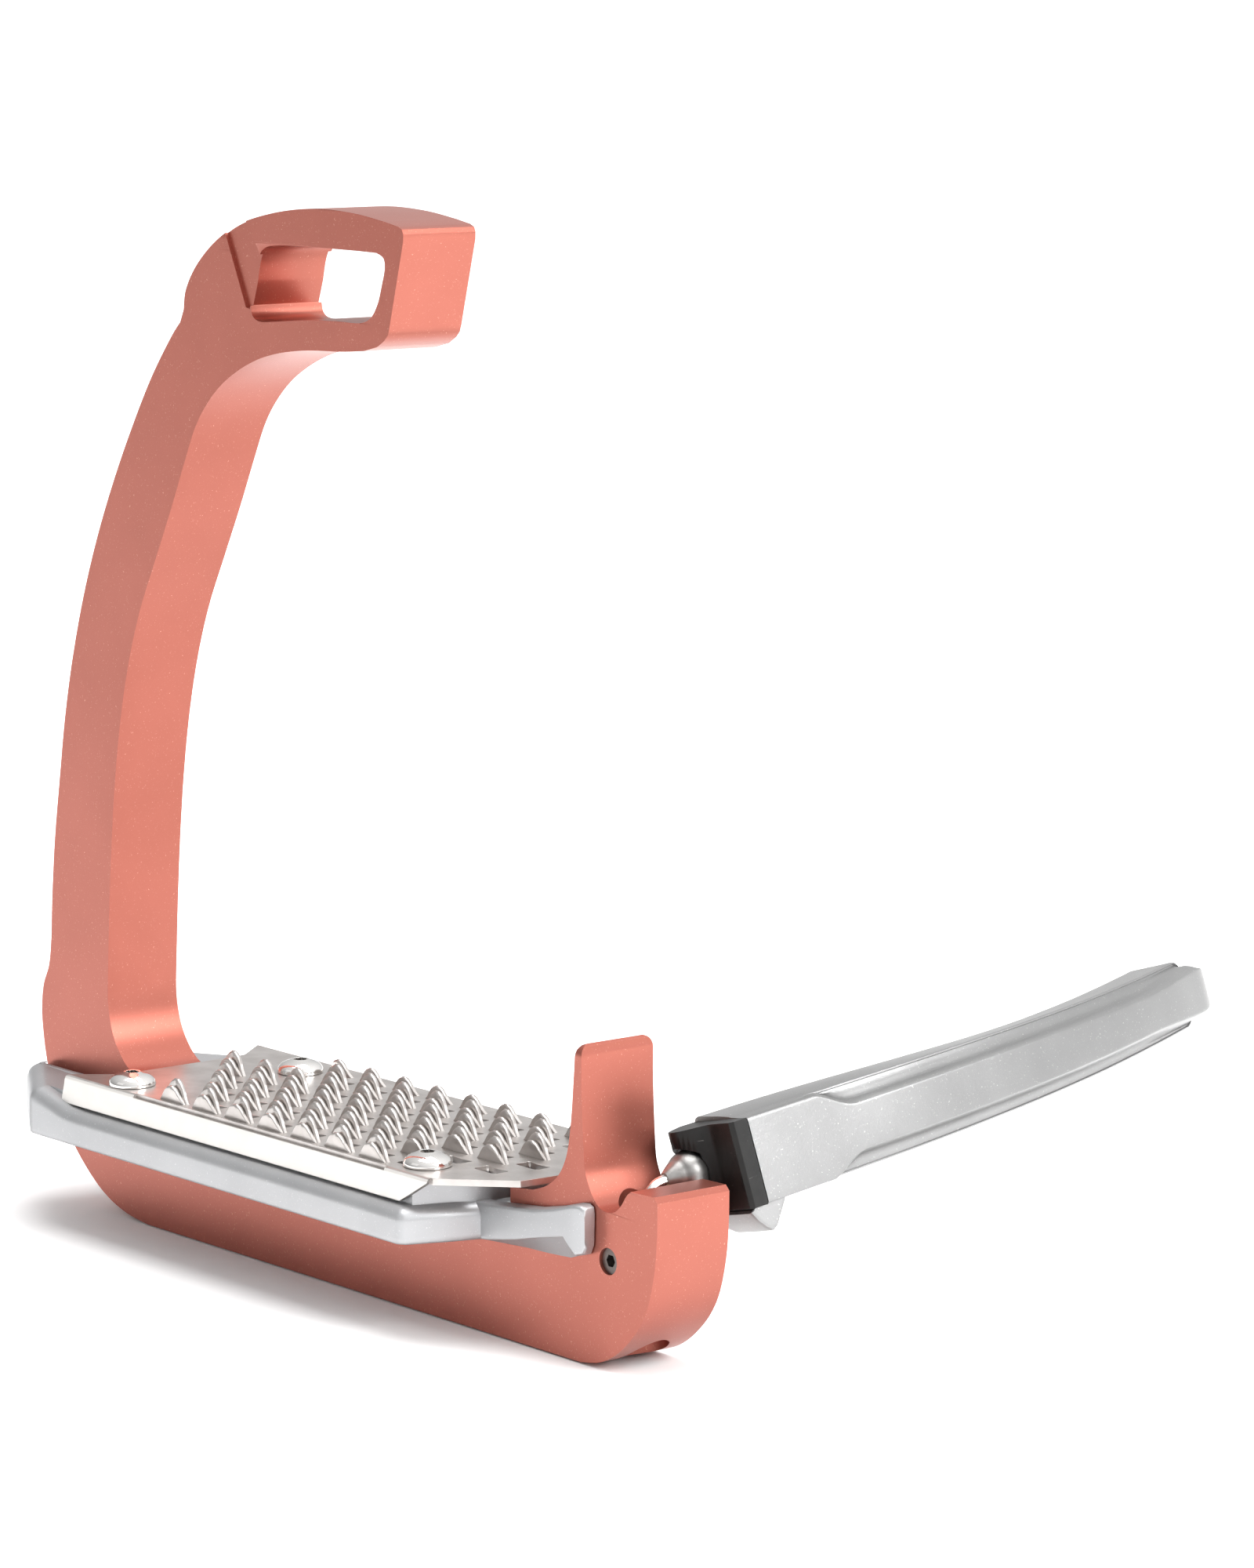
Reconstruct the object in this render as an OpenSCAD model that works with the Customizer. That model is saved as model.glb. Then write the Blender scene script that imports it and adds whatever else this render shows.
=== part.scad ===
// Stirrup iron with a one-piece side branch and a spring-loaded release arm.
// Millimetres. X runs across the foot opening (release side +X), Y runs fore and
// aft, Z is up. The origin is the centre of the base's underside.

/* [Frame] */
// Depth of the cast frame, fore and aft
frame_d = 13.4; // [12:0.1:15]
// Height of the leather slot
slot_h = 10.8; // [9:0.1:11]
// Width of the leather slot along its top edge
slot_w = 30; // [27:0.5:31]

/* [Tread] */
// Overall depth of the tread body, fore and aft
tread_d = 42; // [41:0.5:44]
// Thickness of the grip plate sheet
plate_t = 1; // [0.8:0.1:1.2]
// Height of the grip teeth above the plate
tooth_h = 3.4; // [2:0.1:4]
// Head diameter of the grip plate's button screws
button_d = 7.4; // [7:0.1:7.6]

/* [Release] */
// Diameter of the tether ball
ball_d = 7; // [6.6:0.1:7]
// Diameter of the vertical bore in the end block
bore_d = 7.4; // [7.4:0.1:7.8]
// Diameter of the wire rope tether
cable_d = 1.8; // [1.5:0.1:2]
// Half width of the release arm at its foot
arm_hd = 6.5; // [6:0.1:6.6]
// Angle the arm is tipped out of its closed seat
release_a = 86.5; // [60:0.5:90]
// Twist of the arm on the ball when it is tipped out
swivel_a = 16.8; // [0:0.1:18]

/* [Hidden] */
fw = frame_d / 2;
// bore axis, trough bottom and ledge height of the end block
bx = 68.4; trough_z = 23.5; ledge_z = 27.6;
// ball centre when the arm is closed, and when it is tipped out
ball_c = [bx, 0, 25.5]; ball_o = [bx, 8.55, 27.1];
// hinge axis of the release motion: the point that the turn leaves in place
dy = ball_o[1] - ball_c[1]; dz = ball_o[2] - ball_c[2];
ct = 1 / tan(release_a / 2);
piv = [bx, (ball_c[1] + ball_o[1] + dz * ct) / 2, (ball_c[2] + ball_o[2] - dy * ct) / 2];
// swivel axis through the ball, in the closed arm's frame
sw_axis = [0.27, 0.48, -0.84];
tread_top = 24.5; base_top = 17.5;
plate_y = 19.1;
screw_pos = [[-41, -15.2], [-32.2, 11.2], [34.6, -13.7], [43.4, 11.2]];

// open Catmull-Rom curve through a list of points
function cr(a, b, c, d, t) = 0.5 * ((2 * b) + (c - a) * t + (2 * a - 5 * b + 4 * c - d) * t * t
    + (3 * b - a - 3 * c + d) * t * t * t);
function curve(p, n = 3) = [for (i = [0 : len(p) - 2]) for (j = [0 : n - 1])
    cr(p[max(i - 1, 0)], p[i], p[i + 1], p[min(i + 2, len(p) - 1)], j / n), p[len(p) - 1]];

// outer edge of the branch, from the base up to the eye
outer_low = [[-50, 0], [-56, 0.8], [-61.5, 2.6], [-66.5, 5.6], [-71.5, 10], [-76, 16],
    [-78.6, 22], [-79.7, 27], [-80, 31], [-79.4, 35], [-77.7, 38.5], [-76.9, 43], [-76.4, 50],
    [-75.3, 60], [-73.6, 70], [-71.8, 80], [-69.3, 90], [-65.8, 100.5], [-61.5, 110.5],
    [-56.5, 120], [-51, 129], [-45.5, 137], [-40, 143.5], [-37.4, 146]];
// outer edge of the eye, over the top to its free end
outer_eye = [[-36.4, 148], [-35.8, 151], [-33.4, 154.4], [-29.5, 157.7], [-25, 160.3],
    [-20, 162.2], [-13, 163.7], [-6, 164.6], [1, 164.9], [9, 164.5], [16, 163.6]];
eye_end = [[19.4, 163], [20.5, 162.2], [20.6, 160.8], [17.1, 148], [16, 146.2], [14, 145]];
// underside of the eye and the inner edge of the branch
inner_edge = [[10.6, 144.2], [5, 143.8], [-5, 143.4], [-13.5, 142.2], [-20, 140.2], [-26, 137.2],
    [-30.5, 133.6], [-33.8, 129.6], [-36.8, 124], [-40.6, 116.5], [-45.2, 108], [-49.6, 99.8],
    [-52.9, 91.5], [-55.4, 82.5], [-57.2, 73], [-58.5, 63], [-59.5, 52], [-60.2, 41],
    [-60.4, 35], [-59.4, 30.5], [-57.4, 27.2], [-54.6, 24.8], [-51, 23.6]];
// the tongue's inner face, from the base up
tongue_in = [[51, 23.8], [54, 24.9], [56.6, 26.7], [58.2, 28.9], [59.2, 31.6], [59.9, 36],
    [60.4, 41], [60.8, 45.4]];
// the tongue's outer face, down through the trough to the ledge
tongue_out = [[62.3, 45.6], [62.3, 41], [62.5, 36], [62.8, 31.5], [63.1, 28.8], [64, 26.6],
    [65.4, 24.6], [66.8, 23.75], [68.4, 23.5], [70, 23.9], [71.4, 25.1], [72.6, 26.7], [73.6, 27.5]];
// outer edge of the end block, down to the base
block_out = [[79.6, 26.8], [79.5, 22], [79, 17], [77.6, 11.6], [75.5, 7.8], [72.6, 4.7],
    [69.4, 2.3], [66, 0.8], [62, 0.1]];
frame_pts = concat(curve(outer_low), curve(outer_eye, 2), eye_end, curve(inner_edge), [[-48.2, 21.8],
    [-48.2, base_top], [45.5, base_top], [45.5, 23.2]], curve(tongue_in), [[61.1, 46.6], [61.6, 47.1],
    [62, 46.9]], curve(tongue_out), [[78.8, ledge_z]], curve(block_out, 2));
slot_pts = concat(curve([[-18.4, 149.6], [-17.9, 148], [-16, 147.2], [-12, 147.4], [-4.5, 148],
    [4, 148.3], [9.5, 148.3], [12.4, 149.2], [14.2, 151.4], [15.2, 154], [16, 156.6], [15.7, 158.2],
    [14, 158.9]]), curve([[10, 159], [-3, 159.1], [-11, 159], [-14.6, 158.4], [-16.2, 156.6],
    [-17.2, 153]]));

// profile drawn in X and Z, given a depth along Y that is centred on 0
module slab(pts, d) { rotate([90, 0, 0]) linear_extrude(d, center = true) polygon(pts); }
// closed arm's frame carried to the tipped-out pose
module tip_only() { translate(piv) rotate([-release_a, 0, 0]) translate(-piv) children(); }
module tip() { tip_only() translate(ball_c) rotate(a = swivel_a, v = sw_axis) translate(-ball_c) children(); }

module frame() {
  color([0.85, 0.53, 0.46]) difference() {
    slab(frame_pts, frame_d);
    // leather slot
    slab(slot_pts, frame_d + 4);
    // shallow relief channel on both faces of the eye
    for (s = [-1, 1]) translate([0, s * fw, 0])
      slab([[-24.6, 161.2], [-20.6, 163], [-15.4, 156.6], [-17.4, 152.6], [-19.2, 149]], 1.1);
    // vertical bore through the end block
    translate([bx, 0, -1]) cylinder(d = bore_d, h = 32, $fn = 64);
    // set screw hole from the near face
    translate([bx, -fw - 1, 16.3]) rotate([-90, 0, 0]) cylinder(d = 4, h = fw + 0.4, $fn = 48);
    // threaded holes for the tread screws
    for (x = [-24, 24]) translate([x, 0, 5]) cylinder(d = 5, h = 14, $fn = 48);
  }
}

// plan outline of the tread body with a notch at each end for the frame
module tread_plan(g = 0) {
  h = tread_d / 2 - g;
  polygon([[-79.5 + g, -7.2], [-78.4 + g, -9.8], [-76 + g, -12.5], [-62 + g * 0.6, -h], [36.9 - g * 0.4, -h],
      [39.7 - g, -14.6], [41.8 - g, -8.9], [45.3 - g, -8.9], [45.3 - g, 8.9], [41.8 - g, 8.9], [39.7 - g, 14.6],
      [36.9 - g * 0.4, h], [-62 + g * 0.6, h], [-76 + g, 12.5], [-78.4 + g, 9.8], [-79.5 + g, 7.2],
      [-79.5 + g, fw + 0.15], [-48, fw + 0.15], [-48, -fw - 0.15], [-79.5 + g, -fw - 0.15]]);
}
module tread_body() {
  color([0.80, 0.81, 0.82]) difference() {
    union() {
      translate([0, 0, 14.8]) linear_extrude(4.7) tread_plan();
      translate([0, 0, 19.5]) linear_extrude(0.6) tread_plan(0.3);
      translate([0, 0, 20.1]) linear_extrude(0.5) tread_plan(0.9);
      // raised, rounded end block
      intersection() {
        translate([0, 0, 14.8]) linear_extrude(9) tread_plan();
        slab([[-79.5, 14.8], [-79.5, 20.4], [-78.9, 21.6], [-77.6, 22.3], [-66, 22.6], [-59, 21.8],
            [-56.2, 20.6], [-56.2, 14.8]], 2 * tread_d);
      }
      // prongs that run along both faces of the frame's end block
      for (s = [-1, 1]) translate([0, s * (fw + 0.15 + 1.15), 0])
        slab([[40, 14.8], [43, 15.1], [49.6, 16.3], [61, 18.8], [63.6, 16.5], [65.5, 17.6], [65.5, 24.1],
            [64, 24], [54, 21.5], [43, 20.6], [40, 20.5]], 2.3);
      // raised seat that carries the grip plate
      translate([0, 0, 20.5]) linear_extrude(tread_top - 20.5) intersection() {
        tread_plan(3);
        translate([-48.6, -plate_y + 1.1]) square([92, 2 * plate_y - 2.2]);
      }
    }
    // saddle that sits over the frame's base
    translate([-90, -fw - 0.15, 10]) cube([180, frame_d + 0.3, base_top - 10]);
    // pocket under the tread on each side of the saddle
    for (s = [-1, 1]) translate([-5, s * 14, 10]) cube([84, 8, 15], center = true);
    // tread screws: clearance hole and head recess
    for (x = [-24, 24]) translate([x, 0, 0]) {
      cylinder(d = 5.4, h = 40, $fn = 48);
      translate([0, 0, 21]) cylinder(d = 9.4, h = 10, $fn = 48);
    }
    // grip plate screw holes
    for (p = screw_pos) translate([p[0], p[1], 17.8]) cylinder(d = 4, h = 10, $fn = 48);
  }
}
module tread_screws() {
  color([0.62, 0.63, 0.65]) for (x = [-24, 24]) translate([x, 0, 0]) difference() {
    union() {
      translate([0, 0, 7]) cylinder(d = 5, h = 14.2, $fn = 48);
      translate([0, 0, 21]) cylinder(d = 8.8, h = 2.8, $fn = 48);
    }
    translate([0, 0, 22.2]) cylinder(d = 4.2, h = 3, $fn = 6);
  }
}

// grip plate: low and tall teeth stand in pairs on strips between openings;
// each row is shifted a fifth of the tooth pitch from the one in front
px = 8.72; py = 6.45; rows = 5;
function row_x(r) = -0.1 + r * px / 5;
function row_y(r) = -16.6 + r * py;
plate_pts = [[-54.3, -plate_y], [41.4, -plate_y], [51.4, -9.4], [51.9, -4], [51.9, 4], [51.4, 9.4],
    [41.4, plate_y], [-54.3, plate_y], [-49.3, 12.3], [-49, 7.2], [-49, -7.2], [-49.3, -12.3]];
module tooth(h, w) {
  rotate([90, 0, 0]) linear_extrude(0.7, center = true)
    polygon([[-w, 0], [-w * 0.55, h * 0.38], [-0.85, h - 0.55], [-0.35, h - 0.08], [0.35, h - 0.08],
        [0.8, h - 0.55], [w * 0.42, h * 0.4], [w * 0.7, 0]]);
}
function clear(x, y) = min([for (p = screw_pos) norm([x - p[0], y - p[1]])]) > 5.8;
function in_plate(x, y) = x > (y < -10 ? -33 : -40) && x < 46 && x < 54 - abs(y) * 1.05 && clear(x, y);
cells = [for (r = [0 : rows]) for (i = [-6 : 6]) let (x = row_x(r) + i * px, y = row_y(r)) if (in_plate(x, y)) [x, y, r]];
module grip_plate() {
  z0 = tread_top + 0.05; z1 = z0 + plate_t;
  color([0.66, 0.64, 0.62]) {
    difference() {
      union() {
        translate([0, 0, z0]) linear_extrude(plate_t) polygon(plate_pts);
        // edges folded down over the tread's seat
        for (s = [-1, 1]) translate([0, s * (plate_y - plate_t / 2), 0])
          slab([[-54.3, z1], [41.4, z1], [34.4, 20.9], [-55.6, 20.9]], plate_t);
      }
      // openings between the strips
      for (c = cells) if (c[2] > 0) translate([c[0] + 1.7, c[1] - 5.3, z0 - 1]) cube([5.3, 2.3, 4]);
      for (p = screw_pos) translate([p[0], p[1], z0 - 1]) cylinder(d = 4.3, h = 4, $fn = 32);
    }
    for (c = cells) {
      translate([c[0], c[1] - 1.05, z1 - 0.3]) tooth(tooth_h - 0.9, 3);
      if (c[2] < rows) translate([c[0], c[1], z1 - 0.3]) tooth(tooth_h + 0.3, 3);
    }
  }
}
module grip_screws() {
  color([0.80, 0.79, 0.77]) for (p = screw_pos) translate([p[0], p[1], tread_top + plate_t + 0.05]) difference() {
    union() {
      translate([0, 0, -7.4]) cylinder(d = 3.9, h = 7.6, $fn = 48);
      // button head, a low dome
      rotate_extrude($fn = 48) polygon([[0, 0], [button_d / 2, 0], [button_d / 2, 0.35], [3.3, 1.05],
          [2.6, 1.7], [1.7, 2.1], [0, 2.2]]);
    }
    translate([0, 0, 1.1]) cylinder(d = 2.5, h = 2, $fn = 6);
  }
}

// cup pressed into the bore: it guides the cable and seats the spring
module cable_guide() {
  color([0.70, 0.68, 0.60]) difference() {
    translate([bx, 0, 12.5]) cylinder(d = bore_d - 0.04, h = 7, $fn = 64);
    translate([bx, 0, 11]) cylinder(d = 6, h = 6.5, $fn = 48);
    translate([bx, 0, 11]) cylinder(d = cable_d + 0.5, h = 10, $fn = 32);
  }
}
module set_screw() {
  color([0.30, 0.29, 0.29]) difference() {
    translate([bx, -fw + 0.5, 16.3]) rotate([-90, 0, 0]) cylinder(d = 3.9, h = fw - 0.5 - bore_d / 2 - 0.02, $fn = 48);
    translate([bx, -fw, 16.3]) rotate([-90, 0, 0]) cylinder(d = 2, h = 1.8, $fn = 6);
  }
}
// compression spring between the cup and the washer, shown loaded
spring_lo = 12.1; spring_hi = 17.4; coil_r = 2.3; wire_r = 0.35; turns = 5;
function sp(a) = [bx + coil_r * cos(a), coil_r * sin(a),
    spring_lo + wire_r + (spring_hi - spring_lo - 2 * wire_r) * a / (360 * turns)];
module tube(path, r, n) {
  m = len(path);
  dirs = [for (i = [0 : m - 1]) let (a = path[max(i - 1, 0)], b = path[min(i + 1, m - 1)]) (b - a) / norm(b - a)];
  us = [for (i = [0 : m - 1]) let (c = cross(dirs[i], [0.98, 0.02, 0.2]), u = c / norm(c)) u];
  pts = [for (i = [0 : m - 1]) let (u = us[i], v = cross(dirs[i], u)) for (k = [0 : n - 1])
      path[i] + r * (cos(360 * k / n) * u + sin(360 * k / n) * v)];
  polyhedron(pts, concat([[for (k = [0 : n - 1]) n - 1 - k]], [[for (k = [0 : n - 1]) (m - 1) * n + k]],
      [for (i = [0 : m - 2]) for (k = [0 : n - 1]) let (l = (k + 1) % n) [i * n + k, i * n + l, (i + 1) * n + l, (i + 1) * n + k]]));
}
module coil(path, r, n) {
  m = len(path);
  pts = [for (i = [0 : m - 1]) let (a = 360 * turns * i / (m - 1), u = [cos(a), sin(a), 0], v = [0, 0, 1]) for (k = [0 : n - 1])
      path[i] + r * (cos(360 * k / n) * u + sin(360 * k / n) * v)];
  polyhedron(pts, concat([[for (k = [0 : n - 1]) k]], [[for (k = [0 : n - 1]) (m - 1) * n + n - 1 - k]],
      [for (i = [0 : m - 2]) for (k = [0 : n - 1]) let (l = (k + 1) % n) [i * n + k, (i + 1) * n + k, (i + 1) * n + l, i * n + l]]));
}
module return_spring() { color([0.55, 0.56, 0.58]) coil([for (i = [0 : 80]) sp(360 * turns * i / 80)], wire_r, 8); }
module spring_washer() {
  color([0.75, 0.76, 0.77]) difference() {
    translate([bx, 0, 11.5]) cylinder(d = 5.8, h = 0.5, $fn = 48);
    translate([bx, 0, 11]) cylinder(d = cable_d + 0.4, h = 2, $fn = 32);
  }
}
// swaged ferrule at the cable's lower end
module cable_stop() {
  color([0.62, 0.63, 0.64]) translate([bx, 0, 8.9]) rotate_extrude($fn = 48)
    polygon([[0, 0], [1.5, 0], [1.9, 0.4], [1.9, 2.2], [1.6, 2.5], [0, 2.5]]);
}
// wire rope, from the stop up through the guide, over to the ball and into the arm
cable_route = [[bx, 0, 11.4], [bx, 0, 14], [bx, 0, 17], [bx, 0, 19.6], [bx, 0, 21.6], [bx, 0.2, 23.2],
    [bx, 0.8, 24.8], [bx, 1.9, 26], [bx, 3.3, 26.6], [bx, 5.4, 26.9],
    [bx, 8.55, 27.1], [68.5, 11.5, 27.3], [69, 13.5, 27.8], [69.2, 15, 28.1]];
module tether_cable() { color([0.72, 0.72, 0.71]) tube(curve(cable_route, 3), cable_d / 2, 10); }
// ball with a short conical nose that the cable enters, and a worn flat
module tether_ball() {
  color([0.62, 0.61, 0.59]) tip_only() difference() {
    union() {
      translate(ball_c) sphere(d = ball_d, $fn = 64);
      translate(ball_c) rotate_extrude($fn = 64) polygon([[0, -4.7], [1.2, -4.7], [2.55, -2.4], [0, -2.4]]);
    }
    translate(ball_c) translate([0, 0, -6]) cylinder(d = cable_d + 0.1, h = 14, $fn = 32);
    translate(ball_c) rotate([0, 66, -70]) translate([0, 0, 3.1]) cylinder(d = 8, h = 3, $fn = 32);
  }
}

// release arm, drawn closed: outer and inner edges in X and Z
arm_out = [[79, 31.2], [78.6, 35], [77.8, 41], [76.9, 48], [75.7, 58], [73.8, 69], [71, 81], [67.4, 93],
    [62.6, 105], [57, 116], [50.8, 126.5], [45.2, 135], [41.4, 140.6]];
arm_in = [[29.6, 131.6], [32.5, 128.5], [38.5, 119.5], [44.5, 109.5], [49.6, 99], [53.8, 88], [57.4, 76],
    [60.4, 64], [62.2, 53], [63, 44], [63.3, 36], [63.3, 31.2]];
land_tip = [[39.6, 143.2], [36.8, 144.6], [33.4, 143.9], [30.8, 141.6], [28.8, 138]];
// line where the wide inner part ends and the narrow outer land begins
arm_mid = [[79, 31.2], [78.6, 35], [78, 40], [76, 44], [73, 48], [71, 58], [69, 68], [66.2, 79.3], [62.6, 91],
    [57.9, 102.6], [52.4, 113.4], [46.2, 123.8], [41.4, 131.4], [37.8, 137], [35.4, 139.8]];
body_tip = [[32.8, 140.2], [30.4, 138.8], [28.6, 136]];
// straight sides, narrowing from foot to tip; w0 and w1 are half widths at the foot and far end
module arm_taper(w0, w1, z0 = 20, z1 = 150) {
  rotate([90, 0, 90]) linear_extrude(120)
    polygon([[-w0, z0], [w0, z0], [w0, 33], [w1, z1], [-w1, z1], [-w0, 33]]);
}
module release_arm() {
  color([0.80, 0.81, 0.82]) tip() difference() {
    union() {
      // wide inner part
      intersection() {
        slab(concat(curve(arm_mid, 2), body_tip, curve(arm_in, 2)), 20);
        arm_taper(arm_hd, 5);
      }
      // narrow outer land
      intersection() {
        slab(concat(curve(arm_out, 2), land_tip, curve(arm_in, 2)), 20);
        arm_taper(4.3, 3.5);
      }
      // finger ear beside the foot
      translate([66, 0, 0]) rotate([90, 0, 90]) linear_extrude(12)
        polygon([[5.6, 31.4], [6.8, 31.2], [6.8, 28.7], [7.6, 28.3], [9.4, 28.3], [10.6, 29.2], [10.6, 31], [9.4, 32.6],
            [6.5, 34.6], [5.6, 35]]);
    }
    // socket for the cap's spigot, and pocket for the cable anchor
    translate([66.3, -3.6, 26]) cube([9.4, 7.2, 15.4]);
    // ball seat relief
    translate([bx, 0, 24]) cylinder(d = 4, h = 12, $fn = 32);
    // cap screw hole from the inner side
    translate([60, 0, 38]) rotate([0, 90, 0]) cylinder(d = 3.2, h = 8, $fn = 32);
    translate([60, 0, 38]) rotate([0, 90, 0]) cylinder(d = 5.6, h = 5, $fn = 32);
  }
}
// plastic cap: flat band on the ledge, rib in the trough, spigot in the arm
cap_pts = [[63.7, 31.1], [63.6, 28.6], [64.7, 26.9], [65.9, 25.3], [67.1, 24.45], [68.4, 24.2], [69.7, 24.55],
    [70.8, 25.6], [71.9, 27.1], [72.8, 28], [73.6, 28.2], [78.4, 28.2], [79, 28.8], [79, 31.1]];
module arm_cap() {
  color([0.09, 0.09, 0.09]) tip() difference() {
    union() {
      intersection() {
        slab(cap_pts, 2 * arm_hd - 0.1);
        // lower edges are cut back so that they clear the block while the arm tips
        rotate([90, 0, 90]) linear_extrude(120) polygon([[-5.7, 20], [5.7, 20], [5.7, 27.8], [6.45, 28.8], [6.45, 33],
            [-6.45, 33], [-6.45, 28.8], [-5.7, 27.8]]);
      }
      translate([66.5, -3.4, 31]) cube([9, 6.8, 10.2]);
    }
    // ball seat and cable way
    translate(ball_c) sphere(d = ball_d + 0.3, $fn = 48);
    translate([bx, 0, 15]) cylinder(d = 8, h = 11.5, $fn = 48);
    translate([bx, 0, 24]) cylinder(d = 3.6, h = 7.5, $fn = 32);
    translate([bx, 0, 31]) cylinder(d = 5.2, h = 12, $fn = 32);
    translate([60, 0, 38]) rotate([0, 90, 0]) cylinder(d = 2.4, h = 9, $fn = 32);
  }
}
module cap_screw() {
  color([0.70, 0.70, 0.70]) tip() difference() {
    union() {
      translate([63.5, 0, 38]) rotate([0, 90, 0]) cylinder(d = 5.2, h = 1.5, $fn = 48);
      translate([64, 0, 38]) rotate([0, 90, 0]) cylinder(d = 2.4, h = 3.6, $fn = 48);
    }
    translate([62, 0, 38]) rotate([0, 90, 0]) cylinder(d = 2, h = 2.5, $fn = 6);
  }
}
// ferrule on the cable's upper end, held in the arm
module cable_anchor() {
  color([0.62, 0.63, 0.64]) tip() translate([bx, 0, 31.4]) difference() {
    cylinder(d = 4.6, h = 4, $fn = 48);
    translate([0, 0, -1]) cylinder(d = cable_d + 0.1, h = 3, $fn = 32);
  }
}

frame();
tread_body();
tread_screws();
grip_plate();
grip_screws();
cable_guide();
set_screw();
return_spring();
spring_washer();
cable_stop();
tether_cable();
tether_ball();
release_arm();
arm_cap();
cap_screw();
cable_anchor();
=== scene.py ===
# Looks of the stirrup iron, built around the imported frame. Shapes are worked in
# millimetres in the CAD's own axes and scaled to metres when they become meshes.
import bpy, bmesh, math
from mathutils import Vector, Matrix
from mathutils.geometry import tessellate_polygon


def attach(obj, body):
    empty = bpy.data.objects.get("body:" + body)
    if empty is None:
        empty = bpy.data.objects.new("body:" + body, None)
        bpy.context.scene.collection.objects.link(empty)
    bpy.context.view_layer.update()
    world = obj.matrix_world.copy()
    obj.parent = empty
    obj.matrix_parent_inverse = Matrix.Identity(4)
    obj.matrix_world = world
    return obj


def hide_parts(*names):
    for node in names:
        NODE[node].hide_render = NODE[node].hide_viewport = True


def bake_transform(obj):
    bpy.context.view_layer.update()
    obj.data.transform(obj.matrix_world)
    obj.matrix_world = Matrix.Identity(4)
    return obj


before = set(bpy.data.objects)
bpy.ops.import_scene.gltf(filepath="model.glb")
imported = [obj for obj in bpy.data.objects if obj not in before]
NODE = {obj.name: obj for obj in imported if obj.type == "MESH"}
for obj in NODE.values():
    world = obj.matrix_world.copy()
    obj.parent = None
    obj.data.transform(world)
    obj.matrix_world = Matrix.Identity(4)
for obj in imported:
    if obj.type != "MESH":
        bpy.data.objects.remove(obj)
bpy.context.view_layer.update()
MM = 0.001
W = 6.7                                     # half depth of the cast frame

# ---------------------------------------------------------------- camera
cam_data = bpy.data.cameras.new("camera")
cam_data.sensor_fit = "VERTICAL"
cam_data.sensor_height = 36.0
cam_data.lens = 6925.0 / 2000.0 * 36.0
cam_data.clip_start = 0.05
cam_data.clip_end = 500
cam = bpy.data.objects.new("camera", cam_data)
right, up, back = (0.6311, 0.7757, 0.0), (-0.1178, 0.0959, 0.9884), (0.7667, -0.6238, 0.1519)
m = Matrix.Identity(4)
for i in range(3):
    m[i][0], m[i][1], m[i][2] = right[i], up[i], back[i]
m[0][3], m[1][3], m[2][3] = 0.66213, -0.48626, 0.20326
cam.matrix_world = m
bpy.context.scene.collection.objects.link(cam)
bpy.context.scene.camera = cam
bpy.context.scene.view_settings.view_transform = "Standard"


# ---------------------------------------------------------------- mesh helpers
def cr(a, b, c, d, t):
    return tuple(0.5 * ((2 * q) + (r - p) * t + (2 * p - 5 * q + 4 * r - s) * t * t
                        + (3 * q - p - 3 * r + s) * t ** 3) for p, q, r, s in zip(a, b, c, d))


def curve(p, n=6):
    out = []
    for i in range(len(p) - 1):
        for j in range(n):
            out.append(cr(p[max(i - 1, 0)], p[i], p[i + 1], p[min(i + 2, len(p) - 1)], j / n))
    return out + [tuple(p[-1])]


def lerp(a, b, t):
    return a + (b - a) * t


def smooth(x, a, b):
    t = min(max((x - a) / (b - a), 0.0), 1.0)
    return t * t * (3 - 2 * t)


def make(name, verts, faces, scale=MM):
    me = bpy.data.meshes.new(name)
    me.from_pydata([tuple(c * scale for c in v) for v in verts], [], faces)
    bm = bmesh.new()
    bm.from_mesh(me)
    bmesh.ops.remove_doubles(bm, verts=bm.verts, dist=1e-7)
    bmesh.ops.recalc_face_normals(bm, faces=bm.faces)
    bm.to_mesh(me)
    bm.free()
    ob = bpy.data.objects.new(name, me)
    bpy.context.scene.collection.objects.link(ob)
    return ob


def prism(name, rings, to3d, lo, hi):
    """Closed solid: flat polygon with holes, drawn between two depths."""
    pts = [p for r in rings for p in r]
    tris = tessellate_polygon([[Vector((p[0], p[1], 0)) for p in r] for r in rings])
    n = len(pts)
    verts = [to3d(p, lo) for p in pts] + [to3d(p, hi) for p in pts]
    faces = [tuple(t) for t in tris] + [tuple(n + i for i in reversed(t)) for t in tris]
    k = 0
    for r in rings:
        for i in range(len(r)):
            j = (i + 1) % len(r)
            faces.append((k + i, k + j, n + k + j, n + k + i))
        k += len(r)
    return make(name, verts, faces)


def loft(name, rings, cap=True):
    """Closed skin through rings that have equal point counts."""
    n = len(rings[0])
    verts = [p for r in rings for p in r]
    faces = []
    for i in range(len(rings) - 1):
        for j in range(n):
            k = (j + 1) % n
            faces.append((i * n + j, i * n + k, (i + 1) * n + k, (i + 1) * n + j))
    if cap:
        faces.append(tuple(range(n - 1, -1, -1)))
        faces.append(tuple((len(rings) - 1) * n + j for j in range(n)))
    return make(name, verts, faces)


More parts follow.
